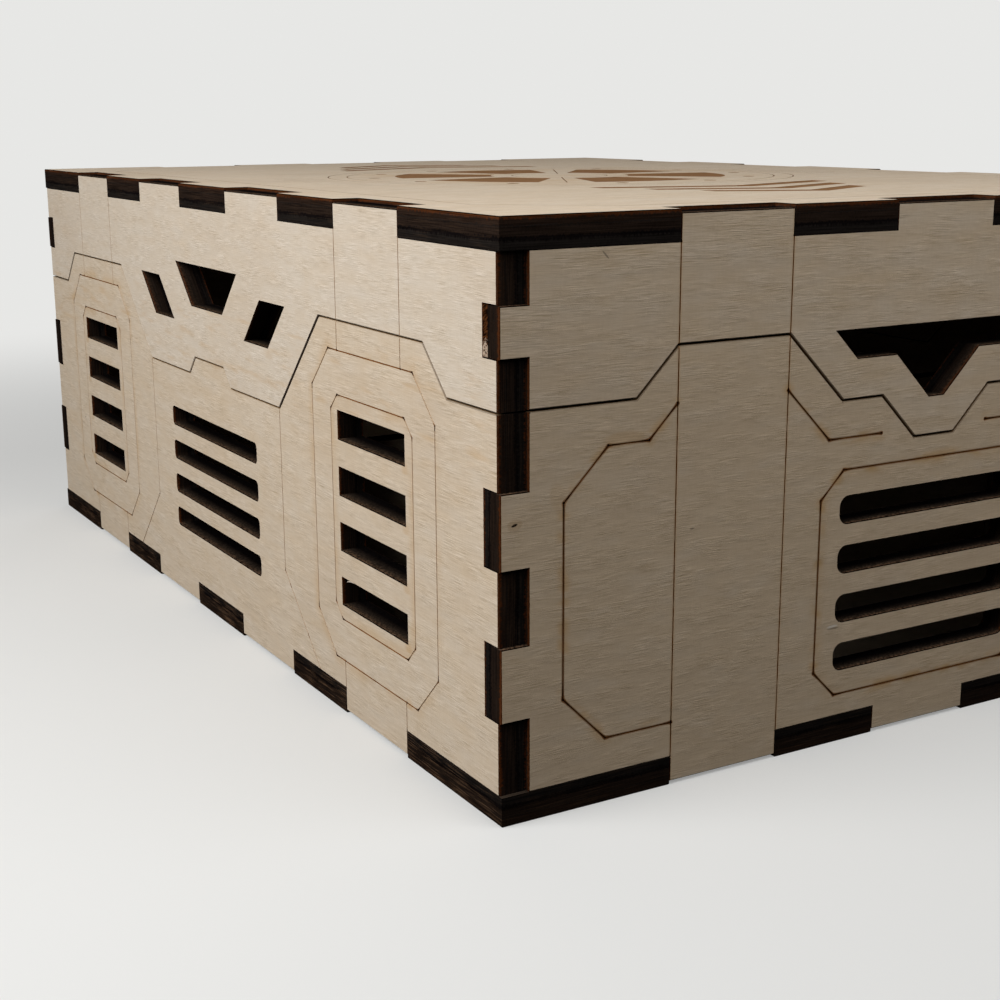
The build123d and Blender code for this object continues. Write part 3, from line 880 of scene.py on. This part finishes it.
class CRATE_OT_front_boards(bpy.types.Operator):
    """Finish the front and back walls of the base and the lid"""

    bl_idname = "crate.front_boards"
    bl_label = "Front and back walls"

    def execute(self, context):
        dark = (0.020, 0.012, 0.008)
        pale = (0.74, 0.66, 0.56)
        shade_and_scratch_grey = (0.12, 0.10, 0.085)
        amber = (0.40, 0.25, 0.13)
        stain = (0.53, 0.36, 0.20)
        base_marks = (
            ((-53.0, 48.1), (3.3, 0.95), 0.0, stain, 0.50),
            ((-62.7, 41.6), (1.3, 2.2), 0.3, stain, 0.25),
            ((-69.0, 39.1), (1.1, 0.75), 0.1, amber, 0.35),
            ((-69.05, 39.1), (0.46, 0.17), 0.25, dark, 1.0),
            # Painted shadow: the grey line just under the chip
            ((-17.3, 17.2), (1.1, 0.16), 0.0, shade_and_scratch_grey, 0.5),
            ((-17.4, 17.5), (1.0, 0.20), 0.05, pale, 0.95),
        )
        lid_marks = (((-56.2, 70.9), (0.7, 0.12), -0.8, shade_and_scratch_grey, 0.6),)
        cut = {"stain_of": front_smoke, "seam": FRONT_SEAM}
        # Painted shade tint: the front and back walls are given a warmer wood than the sides, for the
        # warmer cast of the shaded front
        finish_board("base_front_wall", base_marks, 1.0, **cut)
        finish_board("base_back_wall", (), 1.0, **cut)
        finish_board("lid_front_wall", lid_marks, 0.8, torn=torn_end, **cut)
        finish_board("lid_back_wall", (), 0.8, **cut)
        return {"FINISHED"}


class CRATE_OT_side_boards(bpy.types.Operator):
    """Finish the left and right walls of the base and the lid"""

    bl_idname = "crate.side_boards"
    bl_label = "Side walls"

    def execute(self, context):
        cut = {"stain_of": side_smoke, "seam": SIDE_SEAM}
        for side in ("left", "right"):
            finish_board("base_" + side + "_wall", (), 0.55, **cut)
            finish_board("lid_" + side + "_wall", (), 0.15, **cut)
        return {"FINISHED"}


class CRATE_OT_panels(bpy.types.Operator):
    """Finish the top and bottom panels"""

    bl_idname = "crate.panels"
    bl_label = "Top and bottom panels"

    def execute(self, context):
        finish_board("lid_top_panel", (), 0.45, 1.4, 0.12, top_smoke, singe=0.8)
        finish_board("base_bottom_panel", (), 0.30, 1.0, 0.65, singe=0.0)
        return {"FINISHED"}


# The loose fibre, in millimetres: where its ends are along the wall and how high, and its bow
FIBRE_ROOT = (-56.4, 21.22)
FIBRE_TIP = (-53.8, 20.68)
FIBRE_BOW = 0.12
FIBRE_TAPER = 0.45


class CRATE_OT_loose_fibre(bpy.types.Operator):
    """Add the fibre that peels off the upper edge of a slot in the left wall"""

    bl_idname = "crate.loose_fibre"
    bl_label = "Loose fibre"

    def execute(self, context):
        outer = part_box("base_left_wall")[0][X]
        half = context.scene.crate_wood.loose_fibre_width / 2
        root = Vector((outer + half, FIBRE_ROOT[0] / MM, FIBRE_ROOT[1] / MM))
        tip = Vector((outer + 2 * half, FIBRE_TIP[0] / MM, FIBRE_TIP[1] / MM))
        rings = 10
        sides = 8
        mesh = bmesh.new()
        loops = []
        for ring in range(rings):
            way = ring / (rings - 1)
            spot = root.lerp(tip, way) + Vector((0.0, 0.0, FIBRE_BOW / MM * sin(pi * way)))
            reach = half * (1.0 - FIBRE_TAPER * way * way)
            turns = [2 * pi * side / sides for side in range(sides)]
            loops.append(
                [mesh.verts.new(spot + Vector((cos(a), 0.0, sin(a))) * reach) for a in turns]
            )
        for first, second in zip(loops, loops[1:]):
            for side in range(sides):
                after = (side + 1) % sides
                mesh.faces.new((first[side], second[side], second[after], first[after]))
        mesh.faces.new(loops[0])
        mesh.faces.new(loops[-1][::-1])
        for face in mesh.faces:
            face.smooth = True
        data = bpy.data.meshes.new("loose_fibre")
        mesh.to_mesh(data)
        mesh.free()
        fibre = link(bpy.data.objects.new("loose_fibre", data))
        data.materials.append(fibre_finish(context.scene.crate_wood))
        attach(fibre, "base")
        return {"FINISHED"}


def fibre_finish(wood):
    """Return the material of a pale torn fibre."""
    material = bpy.data.materials.new("torn_fibre")
    material.use_nodes = True
    recipe = Recipe(material.node_tree)
    spot = recipe.scaled(recipe.node("ShaderNodeTexCoord", out="Object"), MM)
    across, along, up = recipe.split(spot)
    threads = recipe.noise(recipe.vector(across / 0.05, along / 0.9, up / 0.05), 2.0)
    tone = recipe.scaled(tuple(wood.pale), 0.55 + 0.6 * threads)
    bump = recipe.node(
        "ShaderNodeBump", None, {"Strength": 1.0, "Distance": 1.0 / MM, "Height": threads * 0.03}
    )
    sockets = {"Base Color": tone, "Roughness": wood.roughness, "Normal": bump}
    shader = recipe.node("ShaderNodeBsdfPrincipled", None, sockets)
    recipe.node("ShaderNodeOutputMaterial", None, {"Surface": shader})
    return material


class CRATE_OT_dividers(bpy.types.Operator):
    """Finish the three boards of the lift-out divider"""

    bl_idname = "crate.dividers"
    bl_label = "Divider boards"

    def execute(self, context):
        for name in ("front_cross_divider", "back_cross_divider", "lengthwise_divider"):
            finish_board(name)
        return {"FINISHED"}


class CRATE_OT_studio(bpy.types.Operator):
    """Set up the camera, the floor, the lamps and the world"""

    bl_idname = "crate.studio"
    bl_label = "Studio"

    def execute(self, context):
        studio = context.scene.crate_studio
        add_camera(studio)
        add_floor(studio)
        add_lamp("key_lamp", studio.key_place, studio.key_size, studio.key_power)
        add_lamp("fill_lamp", studio.fill_place, studio.fill_size, studio.fill_power)
        add_lamp("back_lamp", studio.back_place, studio.back_size, studio.back_power)
        light_world(studio)
        context.scene.view_settings.view_transform = "Standard"
        return {"FINISHED"}


def link(thing):
    """Put an object into the scene."""
    bpy.context.scene.collection.objects.link(thing)
    return thing


def add_camera(studio):
    """Stand the camera where the photograph was taken from."""
    data = bpy.data.cameras.new("camera")
    data.lens = studio.focal_ratio * data.sensor_width
    data.clip_start = 0.01
    camera = link(bpy.data.objects.new("camera", data))
    turn = Matrix.Rotation(-studio.heading, 4, "Z")
    tilt = Matrix.Rotation(pi / 2 + studio.pitch, 4, "X")
    roll = Matrix.Rotation(studio.roll, 4, "Z")
    camera.matrix_world = Matrix.Translation(studio.camera_place) @ turn @ tilt @ roll
    bpy.context.scene.camera = camera


def add_lamp(name, spot, size, power):
    """Add a square lamp that points at the crate's middle."""
    data = bpy.data.lights.new(name, "AREA")
    data.size = size
    data.energy = power
    lamp = link(bpy.data.objects.new(name, data))
    lamp.location = spot
    aim = Vector((0.0, 0.0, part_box("lid_top_panel")[1][Z] / 2)) - Vector(spot)
    lamp.rotation_euler = aim.to_track_quat("-Z", "Y").to_euler()


def seen(recipe):
    """Return 1 for a ray that shows the background, directly or in gloss or glass."""
    rays = recipe.node("ShaderNodeLightPath").socket.node.outputs
    camera = Field(recipe, rays["Is Camera Ray"])
    gloss = Field(recipe, rays["Is Glossy Ray"])
    glass = Field(recipe, rays["Is Transmission Ray"])
    return recipe.least(camera + gloss + glass, 1.0)


# The floor in metres: half its width, and the distances between which it fades into the backdrop
FLOOR_HALF = 4.0
FLOOR_FADE = (0.15, 0.42)


def add_floor(studio):
    """Add a pale floor that fades into the backdrop's colour far from the crate."""
    half = FLOOR_HALF
    mesh = bpy.data.meshes.new("floor")
    corners = [(-half, -half, 0.0), (half, -half, 0.0), (half, half, 0.0), (-half, half, 0.0)]
    mesh.from_pydata(corners, [], [(0, 1, 2, 3)])
    floor = link(bpy.data.objects.new("floor", mesh))
    material = bpy.data.materials.new("floor_paper")
    material.use_nodes = True
    recipe = Recipe(material.node_tree)
    spot = recipe.node("ShaderNodeTexCoord", out="Object")
    far = recipe.ramp(recipe.distance(spot, (0.0, 0.0, 0.0)), *FLOOR_FADE)
    shown = seen(recipe)
    tone = recipe.mix(shown, tuple(studio.floor_bounce), tuple(studio.floor))
    paper = recipe.node("ShaderNodeBsdfDiffuse", None, {"Color": tone})
    backdrop = recipe.node("ShaderNodeEmission", None, {"Color": rgba(tuple(studio.floor))})
    glow = (0.35 + 0.65 * far) * shown
    shader = recipe.node("ShaderNodeMixShader", None, {0: glow, 1: paper, 2: backdrop})
    recipe.node("ShaderNodeOutputMaterial", None, {"Surface": shader})
    mesh.materials.append(material)


def light_world(studio):
    """Light the crate softly from all round, before a pale backdrop."""
    world = bpy.data.worlds.new("backdrop")
    world.use_nodes = True
    recipe = Recipe(world.node_tree)
    tone = recipe.mix(seen(recipe), tuple(studio.ambient), tuple(studio.floor))
    background = recipe.node("ShaderNodeBackground", None, {"Color": tone})
    recipe.node("ShaderNodeOutputWorld", None, {"Surface": background})
    bpy.context.scene.world = world


OPERATORS = (
    CRATE_OT_front_boards,
    CRATE_OT_side_boards,
    CRATE_OT_loose_fibre,
    CRATE_OT_panels,
    CRATE_OT_dividers,
    CRATE_OT_studio,
)


class CRATE_PT_sidebar(bpy.types.Panel):
    """Lists the crate's pieces and its studio"""

    bl_label = "Plywood crate"
    bl_idname = "CRATE_PT_sidebar"
    bl_space_type = "VIEW_3D"
    bl_region_type = "UI"
    bl_category = "Crate"

    def draw(self, context):
        for operator in OPERATORS:
            self.layout.operator(operator.bl_idname)
        for group in ("crate_wood", "crate_laser", "crate_studio"):
            settings = getattr(context.scene, group)
            box = self.layout.box()
            for name in settings.__annotations__:
                box.prop(settings, name)


CLASSES = (WoodSettings, LaserSettings, StudioSettings, *OPERATORS, CRATE_PT_sidebar)


def register():
    """Add the settings, operators and panel."""
    for item in CLASSES:
        bpy.utils.register_class(item)
    bpy.types.Scene.crate_wood = PointerProperty(type=WoodSettings)
    bpy.types.Scene.crate_laser = PointerProperty(type=LaserSettings)
    bpy.types.Scene.crate_studio = PointerProperty(type=StudioSettings)


def unregister():
    """Take the settings, operators and panel away."""
    del bpy.types.Scene.crate_wood
    del bpy.types.Scene.crate_laser
    del bpy.types.Scene.crate_studio
    for item in reversed(CLASSES):
        bpy.utils.unregister_class(item)


def main():
    """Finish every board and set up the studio."""
    register()
    bpy.ops.crate.front_boards()
    bpy.ops.crate.side_boards()
    bpy.ops.crate.loose_fibre()
    bpy.ops.crate.panels()
    bpy.ops.crate.dividers()
    bpy.ops.crate.studio()


if __name__ == "__main__":
    main()
